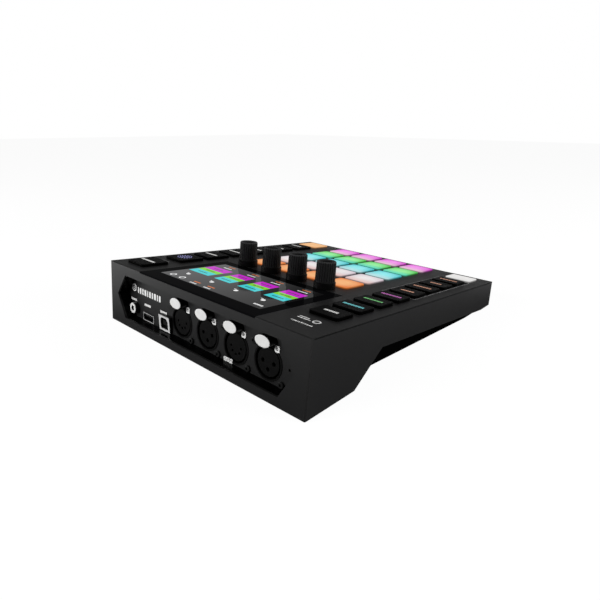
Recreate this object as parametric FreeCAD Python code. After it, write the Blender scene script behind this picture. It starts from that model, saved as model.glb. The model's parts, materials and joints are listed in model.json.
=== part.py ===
import FreeCAD, Part

import math
import os

from FreeCAD import Placement, Rotation, Vector

# Stand-alone lighting control desk: a folded steel wedge case with a touch screen, four
# encoder knobs, twenty colour pads, two columns of keys and a recessed connector panel.
#
# Row frame, millimetres: the origin is the centre of the footprint on the table, +X is the
# user's right, +Y points to the rear (away from the user), +Z is up.
# Panel frame: the origin is the middle of the case's rear top edge, +X as above, +y runs
# rearward along the sloping top plate, +z is the plate's outward normal. The rear wall lies
# in its plane y = 0. "s" is a distance from the rear edge towards the user (s = -y).

# ---- case -------------------------------------------------------------------------------
CASE_WIDTH = 188.0
REAR_BOTTOM_Y = 108.5          # rear face at its foot
REAR_HEIGHT = 42.6             # height of the rear face, along the face
TOP_LENGTH = 213.7             # length of the top plate, along the slope
SLOPE_DEG = 6.25               # fall of the top plate towards the user
SHEET = 1.5                    # sheet thickness of the case
LIFT = 1.0                     # height of the case's lowest edge over the table
BEND_RADIUS = 0.8
SEAM_TOP = 0.25                # open seam under the top plate's side edges
SEAM_HEIGHT = 0.7
SEAM_DEPTH = 0.9

# Side wall outline below the top plate, as (y, height over the wall's foot).
FOOT_FRONT_Y = 69.2            # front end of the rear foot
NOTCH_TOP = (44.2, 17.0)       # top of the foot's diagonal
NOTCH_FRONT_Y = -92.6          # where the lower edge comes back down

# ---- rear window and connector panel ----------------------------------------------------
WINDOW_TOP = 6.65              # depths below the rear top edge
WINDOW_MIDDLE = 21.45
WINDOW_BOTTOM = 37.1
WINDOW_TOP_HALF = 74.2         # half widths at those depths
WINDOW_MIDDLE_HALF = 84.6
WINDOW_BOTTOM_HALF = 74.7
RECESS = 8.6                   # connector plate's face, behind the rear face
LINER_WALL = 1.2
PLATE_SHEET = 1.5
PLATE_HALF_WIDTH = 88.0
PLATE_TOP = 4.5
PLATE_BOTTOM = 38.8
STATUS_HOLE = (-74.1, 25.2, 0.8)   # x, depth, radius

XLR_PITCH = 26.0
XLR_FIRST_X = 19.5
XLR_DEPTH = 26.0               # socket axis below the rear top edge
XLR_BODY_R = 10.5
XLR_GROOVE_R = 9.5
XLR_INSERT_R = 8.15
XLR_GROOVE_DEEP = 6.0
XLR_BEHIND = 14.0              # body length behind the plate's face
XLR_CONTACT_CIRCLE_R = 4.2
XLR_SCREW_X = 11.0
XLR_SCREW_Z = 9.05
XLR_PROUD = 0.4
CONTACT_DEEP = 8.0
THREE_PIN_ANGLES = (0, 90, 180)            # clockwise from the horizontal, seen from behind
FIVE_PIN_ANGLES = (0, 45, 90, 135, 180)
THREE_PIN_R = 1.25
FIVE_PIN_R = 0.8

LATCH_RISE = 12.9              # latch centre over the socket axis
LATCH_WIDTH = 11.3
LATCH_HEIGHT = 6.7
LATCH_FRONT = 3.0              # latch face, behind the rear face
LATCH_LENGTH = 9.4
LATCH_CLEARANCE = 0.35
LATCH_TRAVEL = 1.5

JACK_X = 74.1
JACK_DEPTH = 30.6
JACK_BARREL_R = 3.7
JACK_BORE_R = 1.8
JACK_BORE_LENGTH = 14.0
JACK_FRONT = 5.1               # barrel face, behind the rear face

USB_A_X = 58.8
USB_A_DEPTH = 34.3
USB_A_SIZE = (13.2, 5.2)
USB_A_WALL = 0.35
USB_B_X = 36.25
USB_B_DEPTH = 31.5
USB_B_SIZE = (12.0, 10.4)
USB_B_FRONT = 6.2              # middle of its level face, behind the rear face

# ---- screen -----------------------------------------------------------------------------
GLASS_HALF = 55.4
GLASS_LENGTH = 72.8
GLASS_THICK = 1.1
GLASS_GAP = 0.1
DISPLAY_SIZE = (106.0, 64.0, 3.0)
DISPLAY_S = 38.5

# ---- knobs ------------------------------------------------------------------------------
GRID = 24.6                    # pitch of pads, knobs and right keys
KNOB_S = 77.2
KNOB_BASE = 0.5
KNOB_TOP = 18.0
SKIRT_R = 7.2
SKIRT_TOP = 4.7
GRIP_BOTTOM_R = 6.6
GRIP_TOP_R = 6.3
KNOB_DISH_R = 5.1
KNOB_DISH_DEEP = 1.5
FLUTES = 26
FLUTE_R = 0.45
SPINDLE_R = 3.0
SPINDLE_BOTTOM = -6.0
SPINDLE_CLEARANCE = 0.06
BUSHING_R = 3.5
BUSHING_TOP = 0.2
ENCODER_BODY = 12.0

# ---- pads and keys ----------------------------------------------------------------------
PAD_ROWS = 5
PAD_COLUMNS = 4
PAD_WIDTH = 20.8
PAD_LENGTH = 21.4
PAD_RADIUS = 2.4
PAD_RISE = 1.1
PAD_TRAVEL = 0.9
PAD_FIRST_S = 97.7             # centre of the row nearest the screen
PAD_FLANGE = 0.4

KEY_WIDTH = 19.6
KEY_LENGTH = 14.8
KEY_RADIUS = 1.6
KEY_RISE = 1.9
KEY_TRAVEL = 1.2
KEY_FLANGE = 0.8
LEFT_KEY_X = -75.5
LEFT_FIRST_S = 36.2
LEFT_PITCH = 19.8
LEFT_COUNT = 8
LEFT_LAST_S = 197.2            # the lit key nearest the user

RIGHT_KEY_X = 75.4
RIGHT_KEY_SIZE = 20.2
RIGHT_FIRST_S = 18.2
RIGHT_GRID_COUNT = 7           # keys in line with the pad rows and on to the rear

LIT_RISE = 1.2                 # the two lit keys stand lower than the black ones
CUTOUT_CLEARANCE = 0.25
CAP_TOP_FILLET = 0.35
PAD_TOP_FILLET = 0.6
FLANGE_THICK = 1.15
FLANGE_GAP = 0.05

# ---- inside -----------------------------------------------------------------------------
BOARD_TOP = -8.0               # main board, in the panel frame
BOARD_THICK = 1.6
BOARD_HALF_WIDTH = 90.0
BOARD_REAR_S = 33.5
BOARD_FRONT_S = 208.5
BOARD_EAR_REAR_S = 10.8        # corner that carries the rear right key
BOARD_EAR_X = 64.6
SWITCH_SIZE = 6.0
SWITCH_TOP = -4.5

COVER_SHEET = 1.2
COVER_HALF_WIDTH = 92.4
COVER_FRONT = (-106.4, 0.3)    # underside of the bottom cover, as (y, height)
COVER_BEND = (-68.0, 0.3)
COVER_STEP_TOP = (56.9, 8.5)
COVER_STEP_FOOT = (68.8, 1.0)
COVER_REAR = (106.2, 1.0)
COVER_FLANGE_TOP = ((104.7, 14.0), (46.0, 22.0), (-106.4, 7.0))

FOOT_R = 5.0
FOOT_PLACES = ((80.0, 92.0), (80.0, -96.0))

PILLAR_R = 3.5
PILLAR_X = 60.3
PILLAR_REAR_Y = 75.0
PILLAR_ROWS = (8.0, 84.0)      # along the sloping cover, from its front bend
SCREW_R = 1.45
SCREW_HOLE_R = 1.5
SCREW_CLEAR_R = 1.7
SCREW_LENGTH = 7.0
SCREW_HEAD_R = 1.95
SCREW_HEAD_HEIGHT = 1.3
SCREW_SOCKET_R = 0.9
SCREW_SOCKET_DEEP = 0.8

# ---- derived ----------------------------------------------------------------------------
SLOPE = math.radians(SLOPE_DEG)
HALF_WIDTH = CASE_WIDTH / 2
REAR_TOP = Vector(
    0,
    REAR_BOTTOM_Y - REAR_HEIGHT * math.sin(SLOPE),
    LIFT + REAR_HEIGHT * math.cos(SLOPE),
)
FRONT_Y = REAR_TOP.y - TOP_LENGTH * math.cos(SLOPE)
FRONT_TOP_Z = REAR_TOP.z - TOP_LENGTH * math.sin(SLOPE)
PANEL = Placement(REAR_TOP, Rotation(Vector(1, 0, 0), SLOPE_DEG))
COVER_RISE = COVER_STEP_TOP[1] - COVER_BEND[1]
COVER_RUN = COVER_STEP_TOP[0] - COVER_BEND[0]
COVER_DEG = math.degrees(math.atan2(COVER_RISE, COVER_RUN))
COVER = Placement(
    Vector(0, COVER_BEND[0], COVER_BEND[1] + LIFT), Rotation(Vector(1, 0, 0), COVER_DEG)
)
BIG = 400.0
EAST = Vector(1, 0, 0)
REARWARD = Vector(0, 1, 0)
UP = Vector(0, 0, 1)


# ---- helpers ----------------------------------------------------------------------------
def placed(shape, frame):
    """A copy of a shape moved from a local frame into the row frame."""
    copy = shape.copy()
    copy.Placement = frame.multiply(copy.Placement)
    return copy


def side_prism(outline, half_width):
    """Extrude a (y, z) outline across the case, centred on x = 0."""
    points = [Vector(-half_width, y, z) for y, z in outline]
    face = Part.Face(Part.makePolygon(points + points[:1]))
    return face.extrude(Vector(2 * half_width, 0, 0))


def block(x0, x1, y0, y1, z0, z1):
    return Part.makeBox(x1 - x0, y1 - y0, z1 - z0, Vector(x0, y0, z0))


def rounded_block(x, y, width, length, z0, z1, radius):
    """A block centred on (x, y) with its four upright edges rounded."""
    solid = block(x - width / 2, x + width / 2, y - length / 2, y + length / 2, z0, z1)
    upright = [edge for edge in solid.Edges if abs(edge.tangentAt(0).z) > 0.9]
    return solid.makeFillet(radius, upright)


def round_top(solid, radius):
    """Round the edges that bound a solid's highest flat face."""
    top = solid.BoundBox.ZMax
    edges = [edge for edge in solid.Edges if edge.BoundBox.ZMin > top - 1e-6]
    return solid.makeFillet(radius, edges)


def rear_cylinder(x, depth, radius, y0, y1):
    """A cylinder along the rear face's normal, in the panel frame."""
    return Part.makeCylinder(radius, y1 - y0, Vector(x, y0, -depth), REARWARD)


def rear_ellipse(x, depth, width, height, y0, y1):
    """An elliptical bar along the rear face's normal, in the panel frame."""
    curve = Part.Ellipse(Vector(0, 0, 0), width / 2, height / 2).toShape()
    bar = Part.Face(Part.Wire([curve])).extrude(Vector(0, 0, y1 - y0))
    bar.Placement = Placement(Vector(x, y0, -depth), Rotation(EAST, -90))
    return bar


def hexagon(grow):
    """Outline of the rear window, grown outward, as (x, depth) corners."""
    return (
        (WINDOW_TOP_HALF + grow, WINDOW_TOP - grow),
        (WINDOW_MIDDLE_HALF + grow, WINDOW_MIDDLE),
        (WINDOW_BOTTOM_HALF + grow, WINDOW_BOTTOM + grow),
        (-WINDOW_BOTTOM_HALF - grow, WINDOW_BOTTOM + grow),
        (-WINDOW_MIDDLE_HALF - grow, WINDOW_MIDDLE),
        (-WINDOW_TOP_HALF - grow, WINDOW_TOP - grow),
    )


def hexagon_prism(grow, y0, y1):
    points = [Vector(x, y0, -depth) for x, depth in hexagon(grow)]
    face = Part.Face(Part.makePolygon(points + points[:1]))
    return face.extrude(Vector(0, y1 - y0, 0))


def xlr_x(index):
    return XLR_FIRST_X - index * XLR_PITCH


def xlr_screw_places(index):
    x = xlr_x(index)
    return ((x - XLR_SCREW_X, XLR_DEPTH + XLR_SCREW_Z), (x + XLR_SCREW_X, XLR_DEPTH - XLR_SCREW_Z))


# ---- places of pads and keys, in the panel frame: (name, x, y, width, length) -----------
def pad_places():
    places = []
    for row in range(PAD_ROWS):
        for column in range(PAD_COLUMNS):
            x = (column - (PAD_COLUMNS - 1) / 2) * GRID
            y = -(PAD_FIRST_S + row * GRID)
            places.append((f"pad_row{row + 1}_col{column + 1}", x, y, PAD_WIDTH, PAD_LENGTH))
    return places


def left_key_places():
    stations = [LEFT_FIRST_S + index * LEFT_PITCH for index in range(LEFT_COUNT)]
    stations.append(LEFT_LAST_S)
    return [
        (f"left_key_{number}", LEFT_KEY_X, -s, KEY_WIDTH, KEY_LENGTH)
        for number, s in enumerate(stations, 1)
    ]


def right_key_places():
    last_s = PAD_FIRST_S + (PAD_ROWS - 1) * GRID
    stations = [RIGHT_FIRST_S]
    stations += [last_s - back * GRID for back in range(RIGHT_GRID_COUNT - 1, -1, -1)]
    return [
        (f"right_key_{number}", RIGHT_KEY_X, -s, RIGHT_KEY_SIZE, RIGHT_KEY_SIZE)
        for number, s in enumerate(stations, 1)
    ]


def is_lit(name):
    return name in (f"left_key_{LEFT_COUNT + 1}", f"right_key_{RIGHT_GRID_COUNT + 1}")


def knob_x(index):
    return (index - (PAD_COLUMNS - 1) / 2) * GRID


# ---- case -------------------------------------------------------------------------------
def case_outline():
    corners = (
        (REAR_BOTTOM_Y, 0.0),
        (FOOT_FRONT_Y, 0.0),
        NOTCH_TOP,
        (NOTCH_FRONT_Y, 0.0),
        (FRONT_Y, 0.0),
    )
    outline = [(y, z + LIFT) for y, z in corners]
    return outline + [(FRONT_Y, FRONT_TOP_Z), (REAR_TOP.y, REAR_TOP.z)]


def case_block():
    """The case as a solid wedge, with its bends and rear corners rounded."""
    solid = side_prism(case_outline(), HALF_WIDTH)
    bends = []
    for edge in solid.Edges:
        box = edge.BoundBox
        across = box.XLength > CASE_WIDTH - 1
        rear = box.YMin > REAR_TOP.y - 1 and box.ZMax > REAR_TOP.z - 1
        front_top = box.YMax < FRONT_Y + 1 and box.ZMin > FRONT_TOP_Z - 1
        front_corner = box.YMax < FRONT_Y + 1 and box.ZLength > 10
        if (across and (rear or front_top)) or (not across and rear) or front_corner:
            bends.append(edge)
    return solid.makeFillet(BEND_RADIUS, bends)


def case_cavity():
    """The inside of the folded sheet, open at the bottom."""
    length = TOP_LENGTH + BIG
    inside = HALF_WIDTH - SHEET
    cavity = placed(block(-inside, inside, -length, -SHEET, -BIG, -SHEET), PANEL)
    ahead = FRONT_Y + SHEET
    return cavity.common(block(-BIG, BIG, ahead, BIG, -BIG, BIG))


def seam_cuts():
    cuts = []
    for side in (-1, 1):
        outer = side * (HALF_WIDTH + 1)
        inner = side * (HALF_WIDTH - SEAM_DEPTH)
        x0, x1 = min(outer, inner), max(outer, inner)
        low = -SEAM_TOP - SEAM_HEIGHT
        cuts.append(block(x0, x1, -TOP_LENGTH + SHEET, -SHEET, low, -SEAM_TOP))
    return cuts


def top_cutouts():
    cuts = []
    for name, x, y, width, length in pad_places() + left_key_places() + right_key_places():
        radius = PAD_RADIUS if name.startswith("pad") else KEY_RADIUS
        grow = 2 * CUTOUT_CLEARANCE
        size = (width + grow, length + grow)
        cuts.append(rounded_block(x, y, *size, -BIG / 4, 5, radius + CUTOUT_CLEARANCE))
    for index in range(PAD_COLUMNS):
        centre = Vector(knob_x(index), -KNOB_S, -5)
        cuts.append(Part.makeCylinder(BUSHING_R + 0.05, 10, centre))
    half = GLASS_HALF + GLASS_GAP
    cuts.append(block(-half, half, -GLASS_LENGTH - GLASS_GAP, 5, -GLASS_THICK, 5))
    width, length, _ = DISPLAY_SIZE
    middle = -DISPLAY_S
    grown = (width + 1, length + 1)
    cuts.append(rounded_block(0, middle, *grown, -BIG / 4, 5, 1.0))
    return cuts


def pillar(frame, x, y, hollow):
    """A threaded pillar under the top plate, or the hole in it."""
    if hollow:
        bore = Part.makeCylinder(SCREW_HOLE_R, SCREW_LENGTH + 1, Vector(x, y, COVER_SHEET))
        return placed(bore, frame)
    post = Part.makeCylinder(PILLAR_R, BIG, Vector(x, y, COVER_SHEET + 0.02))
    return placed(post, frame)


def cover_screw_places():
    """(frame, x, y) of each screw that holds the bottom cover."""
    flat = Placement(Vector(0, 0, COVER_REAR[1] + LIFT), Rotation())
    places = []
    for x in (-PILLAR_X, PILLAR_X):
        places.append((flat, x, PILLAR_REAR_Y))
        places += [(COVER, x, y) for y in PILLAR_ROWS]
    return places


def case_shell():
    outer = case_block()
    under_plate = placed(block(-BIG, BIG, -BIG, BIG, -BIG, -SHEET / 2), PANEL)
    posts = [pillar(*place, hollow=False).common(under_plate) for place in cover_screw_places()]
    bores = [pillar(*place, hollow=True) for place in cover_screw_places()]
    panel_cuts = top_cutouts() + seam_cuts() + [hexagon_prism(0, -SHEET - 1, 5)]
    shell = outer.cut(case_cavity()).cut([placed(cut, PANEL) for cut in panel_cuts])
    return shell.fuse(posts).cut(bores).removeSplitter()


def cover_underside():
    """Underside of the bottom cover from front to rear, as (y, z)."""
    corners = (COVER_FRONT, COVER_BEND, COVER_STEP_TOP, COVER_STEP_FOOT, COVER_REAR)
    return [(y, z + LIFT) for y, z in corners]


def bottom_cover():
    under = cover_underside()
    over = [(y, z + COVER_SHEET) for y, z in reversed(under)]
    plate = side_prism(under + over, COVER_HALF_WIDTH)
    flange_outline = under + [(y, z + LIFT) for y, z in COVER_FLANGE_TOP]
    flanges = side_prism(flange_outline, COVER_HALF_WIDTH)
    flanges = flanges.cut(side_prism(
        [(-BIG, -BIG), (BIG, -BIG), (BIG, BIG), (-BIG, BIG)], COVER_HALF_WIDTH - COVER_SHEET
    ))
    holes = []
    for frame, x, y in cover_screw_places():
        holes.append(placed(Part.makeCylinder(SCREW_CLEAR_R, 20, Vector(x, y, -10)), frame))
    return plate.fuse(flanges).cut(holes).removeSplitter()


# ---- connector panel --------------------------------------------------------------------
def window_liner():
    outer = hexagon_prism(LINER_WALL, -RECESS, -SHEET)
    return placed(outer.cut(hexagon_prism(0, -RECESS - 1, 0)), PANEL)


def latch_bar(index, y0, y1, grow):
    depth = XLR_DEPTH - LATCH_RISE
    size = (LATCH_WIDTH + 2 * grow, LATCH_HEIGHT + 2 * grow)
    return rear_ellipse(xlr_x(index), depth, *size, y0, y1)


def jack_body():
    return block(JACK_X - 4.5, JACK_X + 4.5, -26, -RECESS - PLATE_SHEET, -JACK_DEPTH - 4, -JACK_DEPTH + 4)


def connector_plate():
    face = -RECESS
    back = face - PLATE_SHEET
    plate = block(-PLATE_HALF_WIDTH, PLATE_HALF_WIDTH, back, face, -PLATE_BOTTOM, -PLATE_TOP)
    cuts = []
    for index in range(4):
        cuts.append(rear_cylinder(xlr_x(index), XLR_DEPTH, XLR_BODY_R + 0.1, back - 1, face + 1))
        cuts.append(latch_bar(index, back - 1, face + 1, LATCH_CLEARANCE))
        for x, depth in xlr_screw_places(index):
            cuts.append(rear_cylinder(x, depth, SCREW_CLEAR_R, back - 1, face + 1))
    cuts.append(rear_cylinder(JACK_X, JACK_DEPTH, JACK_BARREL_R + 0.1, back - 1, face + 1))
    for x, depth, size in ((USB_A_X, USB_A_DEPTH, USB_A_SIZE), (USB_B_X, USB_B_DEPTH, USB_B_SIZE)):
        half_w, half_h = size[0] / 2 + 0.05, size[1] / 2 + 0.5
        cuts.append(block(x - half_w, x + half_w, back - 1, face + 1, -depth - half_h, -depth + half_h))
    x, depth, radius = STATUS_HOLE
    cuts.append(rear_cylinder(x, depth, radius, back - 1, face + 1))
    return placed(plate.cut(cuts), PANEL)


def xlr_socket(index, angles, contact_r):
    x = xlr_x(index)
    face = -RECESS + XLR_PROUD
    back = -RECESS - XLR_BEHIND
    behind_plate = -RECESS - PLATE_SHEET
    body = rear_cylinder(x, XLR_DEPTH, XLR_BODY_R, back, face)
    carrier = block(x - 7, x + 7, back, behind_plate, -XLR_DEPTH, -XLR_DEPTH + 17)
    lugs = [
        block(sx - 2.4, sx + 2.4, back, behind_plate, -depth - 2.4, -depth + 2.4)
        for sx, depth in xlr_screw_places(index)
    ]
    lug_ties = [
        block(x, x + XLR_SCREW_X, back, behind_plate, -XLR_DEPTH + 6.9, -XLR_DEPTH + 11.7),
        block(x - XLR_SCREW_X, x, back, behind_plate, -XLR_DEPTH - 10.5, -XLR_DEPTH - 6.9),
    ]
    groove = rear_cylinder(x, XLR_DEPTH, XLR_GROOVE_R, face - XLR_GROOVE_DEEP, face + 1)
    insert = rear_cylinder(x, XLR_DEPTH, XLR_INSERT_R, face - XLR_GROOVE_DEEP - 1, face - 0.5)
    pocket_floor = -LATCH_FRONT - LATCH_LENGTH - LATCH_TRAVEL - 0.3
    latch_pocket = latch_bar(index, pocket_floor, 0, LATCH_CLEARANCE)
    contacts = []
    for angle in angles:
        dx = XLR_CONTACT_CIRCLE_R * math.cos(math.radians(angle))
        dz = XLR_CONTACT_CIRCLE_R * math.sin(math.radians(angle))
        contacts.append(rear_cylinder(x + dx, XLR_DEPTH + dz, contact_r, face - CONTACT_DEEP, face))
    screws = [
        rear_cylinder(sx, depth, SCREW_HOLE_R, behind_plate - SCREW_LENGTH, behind_plate + 1)
        for sx, depth in xlr_screw_places(index)
    ]
    socket = body.fuse([carrier] + lugs + lug_ties).cut(groove).fuse(insert).cut([latch_pocket] + contacts + screws)
    return placed(socket.removeSplitter(), PANEL)


def xlr_latch(index):
    back = -LATCH_FRONT - LATCH_LENGTH
    bar = latch_bar(index, back, -LATCH_FRONT, 0)
    rim = [edge for edge in bar.Edges if edge.BoundBox.YMin > -LATCH_FRONT - 1e-3]
    return placed(bar.makeFillet(0.5, rim), PANEL)


def line_in_jack():
    barrel = rear_cylinder(JACK_X, JACK_DEPTH, JACK_BARREL_R, -RECESS - PLATE_SHEET - 1, -JACK_FRONT)
    rim = [edge for edge in barrel.Edges if edge.BoundBox.YMin > -JACK_FRONT - 1e-3]
    barrel = barrel.makeFillet(0.3, rim)
    start = -JACK_FRONT - JACK_BORE_LENGTH
    bore = rear_cylinder(JACK_X, JACK_DEPTH, JACK_BORE_R, start, -JACK_FRONT + 1)
    return placed(barrel.fuse(jack_body()).cut(bore).removeSplitter(), PANEL)


def usb_shell(x, depth, size, y0, y1, opening):
    """A metal USB shell, open to the rear, with the given opening cut in its face."""
    half_w, half_h = size[0] / 2, size[1] / 2
    shell = block(x - half_w, x + half_w, y0, y1, -depth - half_h, -depth + half_h)
    return shell.cut(opening)


def usb_a_socket():
    y0, y1 = -RECESS - 14, -RECESS + 0.3
    half_w, half_h = USB_A_SIZE[0] / 2 - USB_A_WALL, USB_A_SIZE[1] / 2 - USB_A_WALL
    x0, x1 = USB_A_X - half_w, USB_A_X + half_w
    opening = block(x0, x1, y0 + 1, y1 + 1, -USB_A_DEPTH - half_h, -USB_A_DEPTH + half_h)
    shell = usb_shell(USB_A_X, USB_A_DEPTH, USB_A_SIZE, y0, y1, opening)
    tongue = block(x0 + 0.6, x1 - 0.6, y0 + 1, y1 - 0.8, -USB_A_DEPTH + 0.2, -USB_A_DEPTH + 1.9)
    return placed(shell.fuse(tongue), PANEL)


def usb_b_socket():
    y0, y1 = -14.0, 0.0
    half_w, half_h, cut_corner = 4.2, 3.9, 1.7
    outline = (
        (-half_w, -half_h), (half_w, -half_h), (half_w, half_h - cut_corner),
        (half_w - cut_corner, half_h), (cut_corner - half_w, half_h), (-half_w, half_h - cut_corner),
    )
    points = [Vector(dx, y0 + 2, dz) for dx, dz in outline]
    face = Part.Face(Part.makePolygon(points + points[:1]))
    opening = face.extrude(Vector(0, y1 - y0, 0))
    shell = usb_shell(0, 0, USB_B_SIZE, y0, y1, opening)
    tongue = block(-2.8, 2.8, y0 + 1, y1 - 1, -1.6, 1.6)
    level = Placement(Vector(USB_B_X, -USB_B_FRONT, -USB_B_DEPTH), Rotation(EAST, -SLOPE_DEG))
    return placed(placed(shell.fuse(tongue), level), PANEL)


# ---- screen -----------------------------------------------------------------------------
def touch_glass():
    z0 = -GLASS_THICK + 0.02
    glass = block(-GLASS_HALF, GLASS_HALF, -GLASS_LENGTH, -0.05, z0, -0.03)
    return placed(round_top(glass, 0.15), PANEL)


def display_module():
    width, length, thick = DISPLAY_SIZE
    top = -GLASS_THICK - 0.05
    return placed(rounded_block(0, -DISPLAY_S, width, length, top - thick, top, 0.8), PANEL)


# ---- pads and keys ----------------------------------------------------------------------
def cap(place, radius, rise, flange, top_fillet):
    """A pad or key: a rounded cap with a retaining flange under the top plate."""
    _, x, y, width, length = place
    flange_top = -SHEET - FLANGE_GAP
    body = rounded_block(x, y, width, length, flange_top - FLANGE_THICK, rise, radius)
    body = round_top(body, top_fillet)
    grown = (width + 2 * flange, length + 2 * flange)
    skirt = rounded_block(x, y, *grown, flange_top - FLANGE_THICK, flange_top, radius)
    return placed(body.fuse(skirt).removeSplitter(), PANEL)


def caps():
    """Every pad and key by node name."""
    made = {}
    for place in pad_places():
        made[place[0]] = cap(place, PAD_RADIUS, PAD_RISE, PAD_FLANGE, PAD_TOP_FILLET)
    for place in left_key_places() + right_key_places():
        rise = LIT_RISE if is_lit(place[0]) else KEY_RISE
        made[place[0]] = cap(place, KEY_RADIUS, rise, KEY_FLANGE, CAP_TOP_FILLET)
    return made


# ---- knobs ------------------------------------------------------------------------------
def knob(index):
    """A fluted knob in one piece with its encoder's spindle."""
    outline = (
        (0, KNOB_BASE), (SKIRT_R, KNOB_BASE), (SKIRT_R - 0.1, SKIRT_TOP - 0.4),
        (SKIRT_R - 0.25, SKIRT_TOP - 0.1), (SKIRT_R - 0.5, SKIRT_TOP), (GRIP_BOTTOM_R, SKIRT_TOP),
        (GRIP_TOP_R, KNOB_TOP - 0.9), (GRIP_TOP_R - 0.1, KNOB_TOP - 0.45),
        (GRIP_TOP_R - 0.35, KNOB_TOP - 0.12), (GRIP_TOP_R - 0.7, KNOB_TOP),
        (KNOB_DISH_R + 0.2, KNOB_TOP - 0.15), (KNOB_DISH_R, KNOB_TOP - 0.5),
        (KNOB_DISH_R - 0.2, KNOB_TOP - KNOB_DISH_DEEP), (0, KNOB_TOP - KNOB_DISH_DEEP),
    )
    points = [Vector(r, 0, z) for r, z in outline]
    body = Part.Face(Part.makePolygon(points + points[:1])).revolve(Vector(0, 0, 0), UP, 360)
    lean = math.degrees(math.atan2(GRIP_BOTTOM_R - GRIP_TOP_R, KNOB_TOP - SKIRT_TOP))
    flutes = []
    for number in range(FLUTES):
        groove = Part.makeCylinder(FLUTE_R, BIG / 10, Vector(0, 0, 0), UP)
        tilt = Placement(Vector(GRIP_BOTTOM_R + 0.08, 0, SKIRT_TOP + 0.5), Rotation(REARWARD, -lean))
        turn = Placement(Vector(0, 0, 0), Rotation(UP, number * 360 / FLUTES))
        flutes.append(placed(placed(groove, tilt), turn))
    spindle_length = KNOB_BASE - SPINDLE_BOTTOM + 1
    spindle = Part.makeCylinder(SPINDLE_R, spindle_length, Vector(0, 0, SPINDLE_BOTTOM))
    solid = body.cut(flutes).fuse(spindle)
    solid.Placement = Placement(Vector(knob_x(index), -KNOB_S, 0), Rotation())
    return placed(solid, PANEL)


def encoder_bodies():
    made = []
    for index in range(PAD_COLUMNS):
        x = knob_x(index)
        half = ENCODER_BODY / 2
        low = BOARD_TOP + 0.02
        body = block(x - half, x + half, -KNOB_S - half, -KNOB_S + half, low, -SHEET - 0.05)
        bush_height = BUSHING_TOP - low
        bushing = Part.makeCylinder(BUSHING_R, bush_height, Vector(x, -KNOB_S, low))
        bore_floor = SPINDLE_BOTTOM - 0.2
        bore = Part.makeCylinder(SPINDLE_R + SPINDLE_CLEARANCE, 20, Vector(x, -KNOB_S, bore_floor))
        made.append(placed(body.fuse(bushing).cut(bore).removeSplitter(), PANEL))
    return Part.makeCompound(made)


# ---- board, feet and screws -------------------------------------------------------------
def main_board():
    low = BOARD_TOP - BOARD_THICK
    board = block(-BOARD_HALF_WIDTH, BOARD_HALF_WIDTH, -BOARD_FRONT_S, -BOARD_REAR_S, low, BOARD_TOP)
    ear = block(BOARD_EAR_X, BOARD_HALF_WIDTH, -BOARD_REAR_S - 1, -BOARD_EAR_REAR_S, low, BOARD_TOP)
    switches = []
    half = SWITCH_SIZE / 2
    for _, x, y, _, _ in pad_places() + left_key_places() + right_key_places():
        switches.append(block(x - half, x + half, y - half, y + half, BOARD_TOP - 0.1, SWITCH_TOP))
    board = placed(board.fuse([ear] + switches).removeSplitter(), PANEL)
    holes = []
    for frame, x, y in cover_screw_places():
        holes.append(placed(Part.makeCylinder(PILLAR_R + 1, BIG, Vector(x, y, 0)), frame))
    return board.cut(holes)


def rubber_feet():
    feet = []
    for x, y in FOOT_PLACES:
        for side in (-1, 1):
            feet.append(Part.makeCylinder(FOOT_R, LIFT + COVER_SHEET, Vector(side * x, y, 0)))
    under = [(y, z - 0.01) for y, z in cover_underside()]
    keep = side_prism([(COVER_FRONT[0], -1)] + under + [(COVER_REAR[0], -1)], HALF_WIDTH)
    return Part.makeCompound([foot.common(keep) for foot in feet])


def screw():
    """A pan-head screw: shank down -z from the origin, head above it."""
    head = Part.makeCylinder(SCREW_HEAD_R, SCREW_HEAD_HEIGHT)
    head = round_top(head, 0.5)
    shank = Part.makeCylinder(SCREW_R, SCREW_LENGTH + 0.1, Vector(0, 0, -SCREW_LENGTH))
    drive_floor = SCREW_HEAD_HEIGHT - SCREW_SOCKET_DEEP
    corners = [
        Vector(
            SCREW_SOCKET_R * math.cos(math.radians(60 * step)),
            SCREW_SOCKET_R * math.sin(math.radians(60 * step)),
            drive_floor,
        )
        for step in range(6)
    ]
    drive = Part.Face(Part.makePolygon(corners + corners[:1])).extrude(Vector(0, 0, 5))
    return head.fuse(shank).cut(drive)


def m3_screws():
    made = []
    flip = Rotation(EAST, 180)
    for frame, x, y in cover_screw_places():
        made.append(placed(placed(screw(), Placement(Vector(x, y, -0.02), flip)), frame))
    outward = Rotation(EAST, -90)
    for index in range(4):
        for x, depth in xlr_screw_places(index):
            seat = Placement(Vector(x, -RECESS + 0.02, -depth), outward)
            made.append(placed(placed(screw(), seat), PANEL))
    return Part.makeCompound(made)


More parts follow.
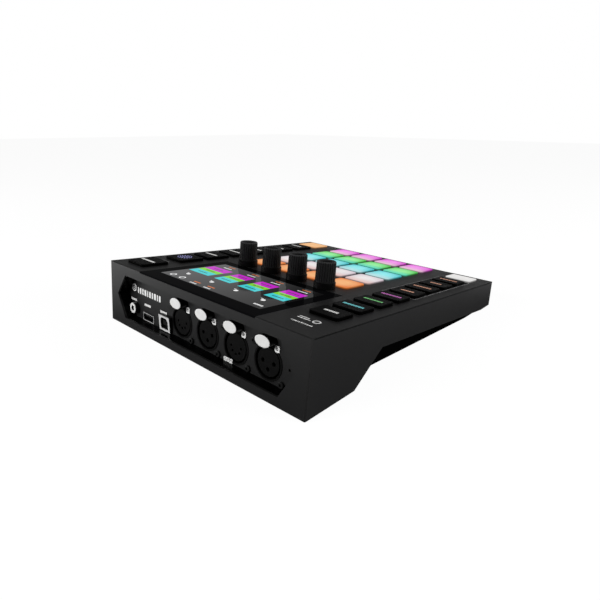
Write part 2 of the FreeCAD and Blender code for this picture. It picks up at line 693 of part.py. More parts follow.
# ---- write ------------------------------------------------------------------------------
def build():
    nodes = {
        "case_shell": case_shell(),
        "bottom_cover": bottom_cover(),
        "window_liner": window_liner(),
        "connector_plate": connector_plate(),
        "line_in_jack": line_in_jack(),
        "usb_a_socket": usb_a_socket(),
        "usb_b_socket": usb_b_socket(),
        "touch_glass": touch_glass(),
        "display_module": display_module(),
        "encoder_bodies": encoder_bodies(),
        "main_board": main_board(),
        "rubber_feet": rubber_feet(),
        "m3_screws": m3_screws(),
    }
    five_pin = [xlr_socket(index, FIVE_PIN_ANGLES, FIVE_PIN_R) for index in (0, 2)]
    three_pin = [xlr_socket(index, THREE_PIN_ANGLES, THREE_PIN_R) for index in (1, 3)]
    nodes["xlr_5pin_sockets"] = Part.makeCompound(five_pin)
    nodes["xlr_3pin_sockets"] = Part.makeCompound(three_pin)
    for index in range(4):
        nodes[f"xlr_latch_{index + 1}"] = xlr_latch(index)
        nodes[f"knob_{index + 1}"] = knob(index)
    nodes.update(caps())
    return nodes


os.makedirs("parts", exist_ok=True)
for node_name, shape in build().items():
    shape.exportStep(os.path.join("parts", node_name + ".step"))
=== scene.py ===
import json
import math

import bpy
from mathutils import Matrix, Vector


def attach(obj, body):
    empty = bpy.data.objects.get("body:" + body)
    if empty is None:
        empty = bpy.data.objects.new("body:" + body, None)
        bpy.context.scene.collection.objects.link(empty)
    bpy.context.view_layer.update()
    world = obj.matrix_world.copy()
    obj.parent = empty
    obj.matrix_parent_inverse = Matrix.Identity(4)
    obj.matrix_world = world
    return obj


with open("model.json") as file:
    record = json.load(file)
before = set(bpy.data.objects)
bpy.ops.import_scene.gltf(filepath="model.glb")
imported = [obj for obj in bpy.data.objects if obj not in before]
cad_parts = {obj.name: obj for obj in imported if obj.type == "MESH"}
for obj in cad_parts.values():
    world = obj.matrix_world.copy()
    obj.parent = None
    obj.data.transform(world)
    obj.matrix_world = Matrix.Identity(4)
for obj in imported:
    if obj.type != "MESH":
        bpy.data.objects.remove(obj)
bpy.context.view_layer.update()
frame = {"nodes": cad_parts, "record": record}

NODES = frame["nodes"]
MM = 0.001

# ---- the desk's panel frame, millimetres --------------------------------------------------
SLOPE = math.radians(6.25)
REAR_FOOT_Y, REAR_FOOT_Z = 108.5, 1.0
REAR_LENGTH = 42.6
REAR_TOP = MM * Vector((
    0,
    REAR_FOOT_Y - REAR_LENGTH * math.sin(SLOPE),
    REAR_FOOT_Z + REAR_LENGTH * math.cos(SLOPE),
))
PANEL = Matrix.Translation(REAR_TOP) @ Matrix.Rotation(SLOPE, 4, "X")
NORMAL = (PANEL.to_3x3() @ Vector((0, 0, 1))).normalized()
REARWARD = (PANEL.to_3x3() @ Vector((0, 1, 0))).normalized()
# Places on the top are (x, s), with s measured forwards from its rear edge.
GRID = 24.6
PAD_FIRST_S = 97.7
LAST_ROW_S = PAD_FIRST_S + 4 * GRID
KEY_PITCH = 19.8
LEFT_FIRST_S = 36.2
LIT_LEFT_S = 197.2
# One and a half of these is the distance of each key column from the middle, so that a glow
# repeating at this spacing is centred on both lit keys.
LIT_SPACING = 50.3
RECESS = 8.6


def link(obj):
    bpy.context.scene.collection.objects.link(obj)
    return obj


# ---- materials ----------------------------------------------------------------------------
class Shader:
    """A principled material with helpers that add procedural variation."""

    def __init__(self, name, color, rough=0.5, metallic=0.0, specular=0.5):
        self.mat = bpy.data.materials.new(name)
        self.mat.use_nodes = True
        self.tree = self.mat.node_tree
        self.links = self.tree.links
        self.bsdf = self.tree.nodes["Principled BSDF"]
        self.set("Base Color", (*color[:3], 1))
        self.set("Roughness", rough)
        self.set("Metallic", metallic)
        self.set("Specular IOR Level", specular)

    def set(self, name, value):
        self.bsdf.inputs[name].default_value = value

    def node(self, kind, **props):
        made = self.tree.nodes.new(kind)
        for key, value in props.items():
            setattr(made, key, value)
        return made

    def math(self, op, a, b=None):
        made = self.node("ShaderNodeMath", operation=op)
        for slot, value in enumerate((a, b)):
            if value is None:
                continue
            if isinstance(value, (int, float)):
                made.inputs[slot].default_value = value
            else:
                self.links.new(value, made.inputs[slot])
        return made.outputs[0]

    def coords(self):
        return self.node("ShaderNodeTexCoord").outputs["Object"]

    def along(self, direction, origin=REAR_TOP):
        """Distance along a direction from an origin, in millimetres."""
        shift = self.node("ShaderNodeVectorMath", operation="SUBTRACT")
        self.links.new(self.coords(), shift.inputs[0])
        shift.inputs[1].default_value = origin
        dot = self.node("ShaderNodeVectorMath", operation="DOT_PRODUCT")
        self.links.new(shift.outputs[0], dot.inputs[0])
        dot.inputs[1].default_value = direction
        return self.math("MULTIPLY", dot.outputs["Value"], 1000.0)

    def noise(self, scale, detail=3.0, stretch=(1, 1, 1)):
        mapping = self.node("ShaderNodeMapping")
        mapping.inputs["Scale"].default_value = stretch
        self.links.new(self.coords(), mapping.inputs["Vector"])
        made = self.node("ShaderNodeTexNoise")
        made.inputs["Scale"].default_value = scale
        made.inputs["Detail"].default_value = detail
        self.links.new(mapping.outputs[0], made.inputs["Vector"])
        return made.outputs["Fac"]

    def ramp(self, value, low, high, start=0.3, end=0.7):
        made = self.node("ShaderNodeMapRange")
        made.inputs["From Min"].default_value = start
        made.inputs["From Max"].default_value = end
        made.inputs["To Min"].default_value = low
        made.inputs["To Max"].default_value = high
        self.links.new(value, made.inputs["Value"])
        return made.outputs[0]

    def mix(self, factor, first, second):
        made = self.node("ShaderNodeMix", data_type="RGBA")
        self.links.new(factor, made.inputs["Factor"])
        for slot, value in (("A", first), ("B", second)):
            target = [i for i in made.inputs if i.name == slot and i.type == "RGBA"][0]
            if isinstance(value, tuple):
                target.default_value = (*value[:3], 1)
            else:
                self.links.new(value, target)
        return [o for o in made.outputs if o.type == "RGBA"][0]

    def vary_rough(self, scale, low, high):
        self.links.new(self.ramp(self.noise(scale), low, high), self.bsdf.inputs["Roughness"])
        return self

    def bump(self, height, strength, distance):
        made = self.node("ShaderNodeBump")
        made.inputs["Strength"].default_value = strength
        made.inputs["Distance"].default_value = distance * MM
        self.links.new(height, made.inputs["Height"])
        self.links.new(made.outputs[0], self.bsdf.inputs["Normal"])
        return self

    def glow(self, color, strength):
        if isinstance(color, tuple):
            self.set("Emission Color", (*color[:3], 1))
        else:
            self.links.new(color, self.bsdf.inputs["Emission Color"])
        if isinstance(strength, (int, float)):
            self.set("Emission Strength", strength)
        else:
            self.links.new(strength, self.bsdf.inputs["Emission Strength"])
        return self


def powder_coat(name, color, rough=0.42, specular=0.28):
    shader = Shader(name, color, rough, specular=specular)
    shader.vary_rough(90, rough - 0.015, rough + 0.02)
    lighter = tuple(c * 1.06 for c in color)
    tone = shader.mix(shader.ramp(shader.noise(35, 5), 0, 1), color, lighter)
    shader.links.new(tone, shader.bsdf.inputs["Base Color"])
    return shader.bump(shader.noise(2600, 2), 0.14, 0.05).mat


def plain(name, color, rough, scale=400, bump=0.15, specular=0.3):
    shader = Shader(name, color, rough, specular=specular)
    shader.vary_rough(scale / 5, max(rough - 0.06, 0.02), rough + 0.08)
    return shader.bump(shader.noise(scale * 4, 3), bump, 0.03).mat


def brushed(name, color, rough=0.3):
    shader = Shader(name, color, rough, metallic=1.0)
    grain = shader.noise(900, 2, (1, 0.05, 1))
    shader.links.new(shader.ramp(grain, rough - 0.1, rough + 0.12), shader.bsdf.inputs["Roughness"])
    return shader.bump(grain, 0.2, 0.02).mat


def painted_shade_split(name, direction, origin, edge, under, over, rough=0.35, specular=0.3, width=0.1):
    """A surface that changes tone at a plane: `over` beyond it, `under` short of it. The darker `under` tone
    is painted shade on the sides and in the recesses of parts.
    """
    shader = Shader(name, over, rough, specular=specular)
    face = shader.ramp(shader.along(direction, origin), 0, 1, edge - width / 2, edge + width / 2)
    wear = shader.ramp(shader.noise(300, 3), 0.92, 1.0)
    tone = shader.mix(shader.math("MULTIPLY", face, wear), under, over)
    shader.links.new(tone, shader.bsdf.inputs["Base Color"])
    shader.vary_rough(300, rough - 0.05, rough + 0.08)
    return shader.bump(shader.noise(1500, 2), 0.08, 0.03).mat


def lit_material(name, edge, centre, spill_tint=None, pitch=GRID, first=PAD_FIRST_S):
    """Translucent cap lit from below, its rear edge tinted by painted light spilled from the next lit row
    towards the rear.
    """
    shader = Shader(name, tuple(c * 0.03 for c in edge), 0.36, specular=0.3)
    x = shader.along(Vector((1, 0, 0)))
    s = shader.along(-REARWARD)
    u = shader.math("SUBTRACT", shader.math("FRACT", shader.math("DIVIDE", x, pitch)), 0.5)
    row = shader.math("DIVIDE", shader.math("SUBTRACT", s, first), pitch)
    v = shader.math("SUBTRACT", shader.math("FRACT", shader.math("ADD", row, 0.5)), 0.5)
    reach = shader.math("ADD", shader.math("POWER", u, 2), shader.math("POWER", v, 2))
    tone = shader.mix(shader.ramp(reach, 1, 0, 0.02, 0.24), edge, centre)
    if spill_tint:
        # Painted light: the rear of the cap takes the colour that the neighbouring lit row spills on it.
        tone = shader.mix(shader.ramp(v, 0.75, 0, -0.43, -0.02), tone, spill_tint)
    face = shader.ramp(shader.along(NORMAL), 0, 1, 0.45, 1.0)
    cloud = shader.ramp(shader.noise(140, 2), 0.96, 1.04)
    strength = shader.math("MULTIPLY", shader.ramp(face, 0.3, 1.0, 0, 1), cloud)
    shader.glow(tone, strength)
    shader.vary_rough(200, 0.3, 0.42)
    return shader.bump(shader.noise(1500, 2), 0.08, 0.03).mat


def knob_material():
    """Soft grip over a skirt painted darker as shade, with a painted highlight as a paler rim round the dish.
    """
    shader = Shader("knob_grip", (0.0035, 0.0035, 0.0036), 0.45, specular=0.15)
    height = shader.along(NORMAL)
    # Painted shade: the skirt below the grip is darker.
    grip = shader.mix(shader.ramp(height, 0, 1, 4.4, 4.8), (0.0018, 0.0018, 0.0018), (0.0092, 0.0092, 0.0093))
    # Painted highlight: a paler band round the rim of the dish.
    rim = shader.ramp(height, 0, 1, 16.9, 17.5)
    shader.links.new(shader.mix(rim, grip, (0.035, 0.035, 0.036)), shader.bsdf.inputs["Base Color"])
    shader.vary_rough(300, 0.4, 0.53)
    return shader.bump(shader.noise(1500, 2), 0.1, 0.03).mat


def glass_material():
    shader = Shader("screen_glass", (0.0035, 0.0035, 0.004), 0.04, specular=0.003)
    shader.links.new(shader.ramp(shader.noise(40, 4), 0.03, 0.09), shader.bsdf.inputs["Roughness"])
    return shader.bump(shader.noise(60, 2), 0.02, 0.01).mat


def screen_print(name, color, strength, specular=0.5):
    """Light from the display seen under the cover glass."""
    shader = Shader(name, (0.004, 0.004, 0.004), 0.05, specular=specular)
    shader.links.new(shader.ramp(shader.noise(40, 4), 0.03, 0.09), shader.bsdf.inputs["Roughness"])
    pale = tuple(min(1, c * 1.08 + 0.004) for c in color)
    tone = shader.mix(shader.ramp(shader.noise(900, 1), 0, 1), color, pale)
    return shader.glow(tone, strength).mat


# Painted shade: this black stands for the shade on the sides and backs of the latches and the jack.
PAINTED_SHADE_BLACK = (0.0025, 0.0025, 0.0027)
WHITE_FACE = (0.82, 0.82, 0.81)
USB_B_X, USB_B_FRONT, USB_B_DEPTH = 36.25, 6.2, 31.5
USB_B_FACE = PANEL @ (Vector((USB_B_X, -USB_B_FRONT, -USB_B_DEPTH)) * MM)
LEVEL_REARWARD = Vector((0, 1, 0))
ORANGE_EDGE, ORANGE = (0.74, 0.2, 0.045), (0.86, 0.42, 0.17)
SURFACES = {
    "case_powder": powder_coat("case_powder", (0.0138, 0.0138, 0.014)),
    # Partly painted shade: the bottom cover is near-black, far darker than the case, so it also stands for
    # the shade it lies in under the sides.
    "cover_black": powder_coat("cover_black", (0.0008, 0.0008, 0.0008), 0.7, 0.0),
    # Partly painted shade: the window liner's near-black also stands for the shade in the recess round the
    # connector plate.
    "liner_gloss": plain("liner_gloss", (0.001, 0.001, 0.0011), 0.25, 120, 0.02, specular=0.03),
    # Painted shade: the socket plastic turns darker deeper inside the sockets, where shade falls.
    "socket_plastic": painted_shade_split(
        "socket_plastic", REARWARD, REAR_TOP, -9.6,
        (0.0008, 0.0008, 0.0008), (0.005, 0.005, 0.005), 0.5, 0.08,
    ),
    # Painted shade: each latch tab is white on its front face and black on its sides and back, where shade
    # falls.
    "latch_white": painted_shade_split("latch_white", REARWARD, REAR_TOP, -3.25, PAINTED_SHADE_BLACK, WHITE_FACE),
    # Painted shade and painted reflection: the jack is black behind its front, where shade falls, and its
    # front ring is pale to stand for the bright reflection on its metal.
    "jack_body": painted_shade_split("jack_body", REARWARD, REAR_TOP, -5.5, PAINTED_SHADE_BLACK, WHITE_FACE, 0.3, 0.6),
    # Painted shade and painted reflection: the USB-B shell is pale on its front face for the metal's bright
    # reflection, and dark on its sides and inside, where shade falls.
    "connector_metal": painted_shade_split(
        "connector_metal", LEVEL_REARWARD, USB_B_FACE, -0.2,
        (0.012, 0.012, 0.012), (0.66, 0.66, 0.66),
    ),
    # Painted shade: the USB-A shell is pale at its face and dark further in, where shade falls.
    "usb_a_metal": painted_shade_split(
        "usb_a_metal", REARWARD, REAR_TOP, -8.45,
        (0.006, 0.006, 0.006), (0.55, 0.55, 0.55), 0.3, 0.5,
    ),
    "screen_glass": glass_material(),
    "display_frame": plain("display_frame", (0.01, 0.01, 0.01), 0.5),
    # Painted shade: the black keys are darker on their sides below the top edge, where shade falls.
    "key_black": painted_shade_split(
        "key_black", NORMAL, REAR_TOP, 1.6,
        (0.0004, 0.0004, 0.0004), (0.005, 0.005, 0.0051), 0.45, 0.03, 0.3,
    ),
    "key_lit_white": lit_material(
        "key_lit_white", (0.66, 0.65, 0.64), (0.75, 0.74, 0.73), None, LIT_SPACING, LIT_LEFT_S
    ),
    "key_lit_orange": lit_material(
        "key_lit_orange", ORANGE_EDGE, (0.84, 0.48, 0.22), None, LIT_SPACING, LAST_ROW_S
    ),
    "pad_orange": lit_material("pad_orange", ORANGE_EDGE, ORANGE),
    # Painted light: each pad's last colour is the tint spilled onto its rear by the neighbouring lit row
    # towards the rear.
    "pad_white": lit_material("pad_white", (0.66, 0.56, 0.62), (0.77, 0.74, 0.74), (0.76, 0.5, 0.44)),
    "pad_cyan": lit_material("pad_cyan", (0.06, 0.5, 0.56), (0.25, 0.77, 0.8), (0.6, 0.77, 0.78)),
    "pad_green": lit_material("pad_green", (0.06, 0.5, 0.06), (0.27, 0.8, 0.3), (0.13, 0.72, 0.62)),
    "pad_magenta": lit_material("pad_magenta", (0.6, 0.05, 0.54), (0.84, 0.27, 0.78), (0.76, 0.68, 0.62)),
    "knob_grip": knob_material(),
    "encoder_steel": brushed("encoder_steel", (0.5, 0.5, 0.5)),
    "board_green": plain("board_green", (0.01, 0.07, 0.03), 0.4),
    "foot_rubber": plain("foot_rubber", (0.012, 0.012, 0.012), 0.8, 300, 0.4),
    "screw_black": plain("screw_black", (0.009, 0.009, 0.009), 0.4, 500, 0.15),
}


def matt_ink(name, color, specular=0.5):
    return Shader(name, color, 0.5, specular=specular).vary_rough(400, 0.4, 0.6).mat


INK_WHITE = matt_ink("ink_white", (0.85, 0.85, 0.84))
INK_GREY = matt_ink("ink_grey", (0.3, 0.3, 0.3))
INK_BLACK = matt_ink("ink_black", (0.0015, 0.0015, 0.0015), 0.05)


def lamp_ink(name, color, strength=1.0):
    shader = Shader(name, (0.02, 0.02, 0.02), 0.4)
    return shader.vary_rough(400, 0.35, 0.5).glow(color, strength).mat


for entry in frame["record"]["subparts"]:
    mesh = NODES[entry["node"]].data
    surface = SURFACES[entry["material_slot"]]
    if mesh.materials:
        for place in range(len(mesh.materials)):
            mesh.materials[place] = surface
    else:
        mesh.materials.append(surface)


# ---- thin printed and inlaid pieces ---------------------------------------------------------
def rounded(cx, cy, width, height, radius, steps=5):
    """Outline of a rounded rectangle, anticlockwise, in the plane's own millimetres."""
    radius = min(radius, width / 2 - 1e-4, height / 2 - 1e-4)
    points = []
    for corner in range(4):
        sx = 1 if corner in (0, 3) else -1
        sy = 1 if corner in (0, 1) else -1
        for step in range(steps + 1):
            angle = math.pi / 2 * (corner + step / steps)
            x = cx + sx * (width / 2 - radius) + radius * math.cos(angle)
            y = cy + sy * (height / 2 - radius) + radius * math.sin(angle)
            points.append((x, y))
    return points


def circle(cx, cy, radius, steps=28):
    return [
        (cx + radius * math.cos(2 * math.pi * i / steps), cy + radius * math.sin(2 * math.pi * i / steps))
        for i in range(steps)
    ]


class Prints:
    """Thin closed prisms on the panel (plane 'top': x, y) or on a rear plane (x, z)."""

    def __init__(self, plane, base, thick=0.05):
        self.plane, self.base, self.thick = plane, base, thick
        self.points, self.faces = [], []

    def place(self, a, b, level):
        local = Vector((a, b, level)) if self.plane == "top" else Vector((a, level, b))
        return PANEL @ (local * MM)

    def add(self, outline):
        start, count = len(self.points), len(outline)
        low = [self.place(a, b, self.base) for a, b in outline]
        high = [self.place(a, b, self.base + self.thick) for a, b in outline]
        self.points += low + high
        upper = [start + count + i for i in range(count)]
        lower = [start + i for i in range(count)]
        self.faces += [upper, lower[::-1]]
        for i in range(count):
            j = (i + 1) % count
            self.faces.append((start + i, start + j, start + count + j, start + count + i))
        return self

    def frame(self, outer, inner):
        """A flat ring between two outlines with the same number of points."""
        start, count = len(self.points), len(outer)
        for outline in (outer, inner):
            for level in (self.base, self.base + self.thick):
                self.points += [self.place(a, b, level) for a, b in outline]
        for i in range(count):
            j = (i + 1) % count
            ring = [(start + block * count + i, start + block * count + j) for block in range(4)]
            (a0, a1), (b0, b1), (c0, c1), (d0, d1) = ring
            self.faces += [(a0, a1, b1, b0), (d0, d1, c1, c0), (b0, b1, d1, d0), (c0, c1, a1, a0)]
        return self

    def finish(self, name, body, material):
        mesh = bpy.data.meshes.new(name)
        mesh.from_pydata(self.points, [], self.faces)
        mesh.validate()
        obj = link(bpy.data.objects.new(name, mesh))
        mesh.materials.append(material)
        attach(obj, body)
        return obj


def tally(prints, cx, cy, width, height, sizes=(0.8, 0.5, 0.9, 0.6), gap=0.5):
    """A generic caption: a run of short upright bars that fills a given width."""
    x, index, bars = 0.0, 0, []
    while True:
        size = sizes[index % len(sizes)]
        if x + size > width:
            break
        bars.append((x + size / 2, size))
        x += size + gap
        index += 1
    shift = (x - gap) / 2
    for middle, size in bars:
        prints.add(rounded(cx + middle - shift, cy, size, height, 0.3, 2))
    return prints


# ---- key legends ----------------------------------------------------------------------------
KEY_TOP = 1.9
LEGEND_HEIGHT = 2.1
LEFT_X, RIGHT_X = -75.5, 75.4
LEGEND_COLORS = {
    "white": (0.8, 0.8, 0.78),
    "cyan": (0.16, 0.62, 0.66),
    "green": (0.16, 0.55, 0.18),
    "pink": (0.62, 0.16, 0.56),
    "peach": (0.72, 0.36, 0.24),
}
LEGENDS = {name: lamp_ink("legend_" + name, color, 0.95) for name, color in LEGEND_COLORS.items()}
LEFT_LEGENDS = (
    ("white", 10), ("cyan", 14), ("green", 13), ("pink", 14),
    ("peach", 10), ("peach", 13), ("peach", 8), ("peach", 13),
)
for number, (tint, width) in enumerate(LEFT_LEGENDS, 1):
    legend = Prints("top", KEY_TOP)
    tally(legend, LEFT_X, -(LEFT_FIRST_S + KEY_PITCH * (number - 1)), width, LEGEND_HEIGHT)
    legend.finish(f"legend_left_{number}", f"left_key_{number}_body", LEGENDS[tint])

RIGHT_REAR_S = 18.2
RIGHT_S = [RIGHT_REAR_S] + [LAST_ROW_S - back * GRID for back in range(6, -1, -1)]
# A key with no caption width carries a motif of dots; the eighth key is lit and blank.
RIGHT_WIDTHS = (16, 0, 13, 15, 10, 14, 12)
MOTIF_RINGS = ((1.6, 6), (3.3, 12), (5.0, 16))
for number, width in enumerate(RIGHT_WIDTHS, 1):
    legend = Prints("top", KEY_TOP)
    if width:
        tally(legend, RIGHT_X, -RIGHT_S[number - 1], width, LEGEND_HEIGHT)
        legend.finish(f"legend_right_{number}", f"right_key_{number}_body", LEGENDS["white"])
        continue
    centre = -RIGHT_S[number - 1]
    for ring, count in MOTIF_RINGS:
        for step in range(count):
            angle = 2 * math.pi * (step + 0.25 * ring) / count
            spot = (RIGHT_X + ring * math.cos(angle), centre + ring * math.sin(angle))
            legend.add(circle(*spot, 0.42, 10))
    motif = lamp_ink("legend_blue", (0.42, 0.42, 0.85), 0.9)
    legend.finish(f"legend_right_{number}", f"right_key_{number}_body", motif)

# ---- prints on the case ---------------------------------------------------------------------
# The last four black keys of the left column stand in a dark outlined field, which leaves
# their openings clear.
GROUP_X, GROUP_W, GROUP_S, GROUP_L = -73.95, 24.9, 147.4, 82.8
GROUP_BORDER = 1.1
FIELD_MARGIN = 0.7
KEY_HOLE = (20.3, 15.5)
GROUP_KEYS = [LEFT_FIRST_S + KEY_PITCH * number for number in range(4, 8)]
FIELD_START = GROUP_S - (GROUP_L - FIELD_MARGIN) / 2
FIELD_END = GROUP_S + (GROUP_L - FIELD_MARGIN) / 2
FIELD_LEFT = GROUP_X - (GROUP_W - FIELD_MARGIN) / 2
FIELD_RIGHT = GROUP_X + (GROUP_W - FIELD_MARGIN) / 2
field = Prints("top", 0.0, 0.03)
key_edges = [middle + side * KEY_HOLE[1] / 2 for middle in GROUP_KEYS for side in (-1, 1)]
edges = [FIELD_START, *key_edges, FIELD_END]
for start, end in zip(edges[::2], edges[1::2]):
    field.add(rounded(GROUP_X, -(start + end) / 2, GROUP_W - FIELD_MARGIN, end - start, 0.1, 1))
for x0, x1 in ((FIELD_LEFT, LEFT_X - KEY_HOLE[0] / 2), (LEFT_X + KEY_HOLE[0] / 2, FIELD_RIGHT)):
    field.add(rounded((x0 + x1) / 2, -GROUP_S, x1 - x0, GROUP_L - FIELD_MARGIN, 0.1, 1))
field.finish("print_group_field", "desk", INK_BLACK)
outline = Prints("top", 0.0, 0.045)
outline.frame(
    rounded(GROUP_X, -GROUP_S, GROUP_W, GROUP_L, 1.2),
    rounded(GROUP_X, -GROUP_S, GROUP_W - GROUP_BORDER, GROUP_L - GROUP_BORDER, 0.6),
)
outline.finish("print_group_outline", "desk", INK_GREY)

mark = Prints("top", 0.0, 0.04)
tally(mark, 77.4, -32.6, 10.2, 1.3, (0.8, 0.6), 0.35)
mark.finish("print_key_note", "desk", INK_GREY)

badge = Prints("top", 0.0, 0.04)
badge.frame(circle(-79.6, -19.8, 2.4), circle(-79.6, -19.8, 1.6))
badge.add(rounded(-71.6, -18.9, 9.0, 0.9, 0.4))
badge.add(rounded(-70.6, -20.9, 7.0, 0.9, 0.4))
tally(badge, -75.6, -12.8, 15.6, 1.2, (0.9, 0.7, 1.1), 0.45)
badge.finish("print_panel_badge", "desk", INK_WHITE)

# ---- prints on the connector plate ----------------------------------------------------------
PLATE = -RECESS
notes = Prints("rear", PLATE, 0.04)
notes.frame(circle(77.6, -16.8, 2.8), circle(77.6, -16.8, 2.0))
notes.frame(circle(77.6, -16.8, 1.2), circle(77.6, -16.8, 0.6))
tally(notes, 58.5, -17.6, 29.5, 4.2, (2.0, 1.2, 2.4, 1.6), 1.2)
for x, depth, width in ((78.2, 25.5, 7.6), (60.4, 25.9, 7.6), (40.8, 25.5, 7.8)):
    tally(notes, x, -depth, width, 1.7, (1.1, 0.9), 0.3)
notes.finish("print_socket_notes", "desk", INK_WHITE)

for index in range(4):
    x, depth = 19.5 - 26.0 * index - 6.3, 16.6
    tag = Prints("rear", PLATE, 0.48)
    tag.frame(rounded(x, -depth, 3.5, 3.7, 0.9), rounded(x, -depth, 1.5, 1.7, 0.4))
    tag.add(rounded(x, -depth, 0.5, 0.7, 0.2, 3))
    tag.finish(f"print_socket_tag_{index + 1}", "desk", INK_WHITE)

plate_tag = Prints("rear", PLATE, 0.48)
plate_tag.frame(rounded(-26.6, -35.7, 7.6, 2.4, 0.5), rounded(-26.6, -35.7, 6.7, 1.5, 0.2))
tally(plate_tag, -26.6, -35.7, 6.0, 0.9, (0.9, 0.6), 0.3)
plate_tag.finish("print_plate_tag", "desk", INK_WHITE)

# ---- screen contents ------------------------------------------------------------------------
ACTIVE_X, ACTIVE_S, ACTIVE_W, ACTIVE_H = -47.5, 10.8, 95.0, 53.8


def screen_point(u, v):
    return ACTIVE_X + ACTIVE_W * u, -(ACTIVE_S + ACTIVE_H * v)


def screen_box(prints, u0, u1, v0, v1, radius=0.15):
    (x0, y0), (x1, y1) = screen_point(u0, v0), screen_point(u1, v1)
    prints.add(rounded((x0 + x1) / 2, (y0 + y1) / 2, x1 - x0, y0 - y1, radius, 2))


COLUMNS = ((0.035, 0.205), (0.285, 0.453), (0.53, 0.696), (0.765, 0.985))
BANDS = (
    ("cyan", 0.39, 0.53, (0.05, 0.56, 0.6)),
    ("lime", 0.53, 0.63, (0.2, 0.62, 0.04)),
    ("magenta", 0.63, 0.79, (0.5, 0.02, 0.52)),
)
backdrop = Prints("top", -0.02, 0.02)
screen_box(backdrop, 0, 1, 0, 1, 0.3)
# The grey that rises across the screen is drawn as its own light: partly the display's light and
# partly a painted reflection in the cover glass.
glow_and_painted_reflection = Shader("ui_grey", (0.004, 0.004, 0.004), 0.05)
glow_and_painted_reflection.vary_rough(40, 0.03, 0.09)
glow_and_painted_reflection.glow((1.0, 1.0, 1.02), glow_and_painted_reflection.ramp(glow_and_painted_reflection.along(Vector((1, 0, 0))), 0.004, 0.085, -45, 50))
backdrop.finish("screen_backdrop", "desk", glow_and_painted_reflection.mat)
for band, v0, v1, color in BANDS:
    layer = Prints("top", 0.0, 0.01)
    for u0, u1 in COLUMNS:
        screen_box(layer, u0, u1, v0, v1)
    layer.finish("screen_band_" + band, "desk", screen_print("ui_" + band, color, 1.0))

dark = Prints("top", 0.01, 0.01)
white = Prints("top", 0.0, 0.01)
amber = Prints("top", 0.0, 0.01)
for u0, u1 in COLUMNS:
    middle = (u0 + u1) / 2
    for _, v0, v1, _ in BANDS:
        x, y = screen_point(middle, (v0 + v1) / 2)
        tally(dark, x, y, 10, 1.4, (1.0, 0.7, 1.2), 0.4)
    x, y = screen_point(middle, 0.86)
    tally(white, x, y, 9, 1.5, (1.0, 0.8, 1.2), 0.4)
    x, y = screen_point(middle, 0.935)
    tally(amber, x, y, 7, 1.3, (0.9, 0.7), 0.4)
    x, y = screen_point(middle, 0.245)
    white.add(circle(x, y, 1.5))
    white.add(rounded(x + 2.6, y - 1.8, 2.2, 0.7, 0.2, 2))
x, y = screen_point(0.065, 0.085)
tally(white, x, y, 8, 1.8, (1.2, 0.9), 0.4)
for u in (0.51, 0.655):
    x, y = screen_point(u, 0.035)
    tally(white, x, y, 7, 1.4, (1.0, 0.8), 0.4)
    x, y = screen_point(u, 0.095)
    tally(amber, x, y, 6.5, 1.4, (1.0, 0.8), 0.4)
for u in (0.81, 0.915):
    x, y = screen_point(u, 0.08)
    white.frame(circle(x, y, 2.3), circle(x, y, 1.5))
dark.finish("screen_marks_dark", "desk", screen_print("ui_dark", (0.01, 0.05, 0.03), 1.0))
white.finish("screen_marks_white", "desk", screen_print("ui_white", (0.85, 0.85, 0.85), 1.0))
amber.finish("screen_marks_amber", "desk", screen_print("ui_amber", (0.75, 0.17, 0.02), 1.0))

# ---- studio ---------------------------------------------------------------------------------
# The floor only looks white to the camera. To the desk it is dark, so that it throws little
# light up at it, and in the desk's reflections it brightens with distance from the middle.
floor_mesh = bpy.data.meshes.new("floor")
half = 4.0
floor_mesh.from_pydata(
    [(-half, -half, 0), (half, -half, 0), (half, half, 0), (-half, half, 0)], [], [(0, 1, 2, 3)]
)
floor = link(bpy.data.objects.new("floor", floor_mesh))
floor_look = Shader("floor_pale", (0.08, 0.08, 0.08), 0.9, specular=0.0)
floor_look.vary_rough(3, 0.85, 0.95)
camera_ray = floor_look.node("ShaderNodeLightPath").outputs["Is Camera Ray"]
glossy_ray = floor_look.node("ShaderNodeLightPath").outputs["Is Glossy Ray"]
away = floor_look.node("ShaderNodeVectorMath", operation="LENGTH")
floor_look.links.new(floor_look.coords(), away.inputs[0])
distant = floor_look.ramp(away.outputs["Value"], 0.0, 1.2, 0.16, 0.38)
sheen = floor_look.math("MULTIPLY", glossy_ray, distant)
direct = floor_look.math("MULTIPLY", camera_ray, 0.95)
floor_look.glow((1.0, 1.0, 1.0), floor_look.math("ADD", direct, sheen))
floor_mesh.materials.append(floor_look.mat)

world = bpy.data.worlds.new("studio")
bpy.context.scene.world = world
world.use_nodes = True
tree = world.node_tree
background = tree.nodes["Background"]
background.inputs["Color"].default_value = (1, 1, 1, 1)


def world_node(kind, **inputs):
    made = tree.nodes.new(kind)
    for name, value in inputs.items():
        made.inputs[name.replace("_", " ")].default_value = value
    return made


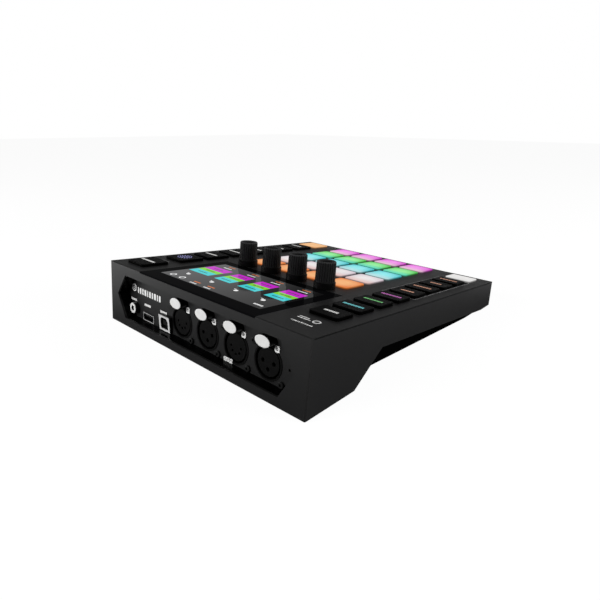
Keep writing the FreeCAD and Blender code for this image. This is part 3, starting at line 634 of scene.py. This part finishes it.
# White to the camera, dim to everything else, with a paler card low down beyond the desk.
path = tree.nodes.new("ShaderNodeLightPath")
heading = tree.nodes.new("ShaderNodeTexCoord")
towards = tree.nodes.new("ShaderNodeVectorMath")
towards.operation = "DOT_PRODUCT"
towards.inputs[1].default_value = Vector((0.63, -0.75, 0.19)).normalized()
tree.links.new(heading.outputs["Generated"], towards.inputs[0])
card = world_node("ShaderNodeMapRange", From_Min=0.75, From_Max=1.0, To_Min=0.1, To_Max=0.2)
card.interpolation_type = "SMOOTHSTEP"
tree.links.new(towards.outputs["Value"], card.inputs["Value"])
level = world_node("ShaderNodeMapRange", To_Max=1.0)
tree.links.new(path.outputs["Is Camera Ray"], level.inputs["Value"])
tree.links.new(card.outputs[0], level.inputs["To Min"])
tree.links.new(level.outputs[0], background.inputs["Strength"])


def softbox(name, place, target, size, power, mirrored=False):
    lamp = bpy.data.lights.new(name, "AREA")
    lamp.shape = "RECTANGLE"
    lamp.size, lamp.size_y = size
    lamp.energy = power
    obj = link(bpy.data.objects.new(name, lamp))
    obj.visible_glossy = mirrored
    obj.location = place
    obj.rotation_euler = (Vector(target) - Vector(place)).to_track_quat("-Z", "Y").to_euler()
    return obj


softbox("light_rear", (0.35, 1.15, 0.5), (0, 0.08, 0.02), (0.7, 0.5), 14)
softbox("light_left", (-1.1, -0.45, 0.35), (0, 0, 0.02), (0.6, 0.4), 16)
softbox("light_right", (0.8, 0.5, 0.12), (0.0, 0.1, 0.03), (0.5, 0.22), 1.0, mirrored=True)

# ---- camera ---------------------------------------------------------------------------------
EYE = Vector((-221.78, 251.99, 134.98)) * MM
FORWARD = Vector((0.63281447, -0.69096676, -0.34944353)).normalized()
SIDE = Vector((-0.73568489, -0.67728821, 0.00695847))
SIDE = (SIDE - FORWARD * SIDE.dot(FORWARD)).normalized()
RISE = SIDE.cross(FORWARD)
camera_data = bpy.data.cameras.new("camera")
camera_data.sensor_width = 36.0
camera_data.lens = 28.62
camera_data.clip_start = 0.01
camera = link(bpy.data.objects.new("camera", camera_data))
turn = Matrix((SIDE, RISE, -FORWARD)).transposed()
camera.matrix_world = Matrix.Translation(EYE) @ turn.to_4x4()
bpy.context.scene.camera = camera
bpy.context.scene.view_settings.view_transform = "Standard"
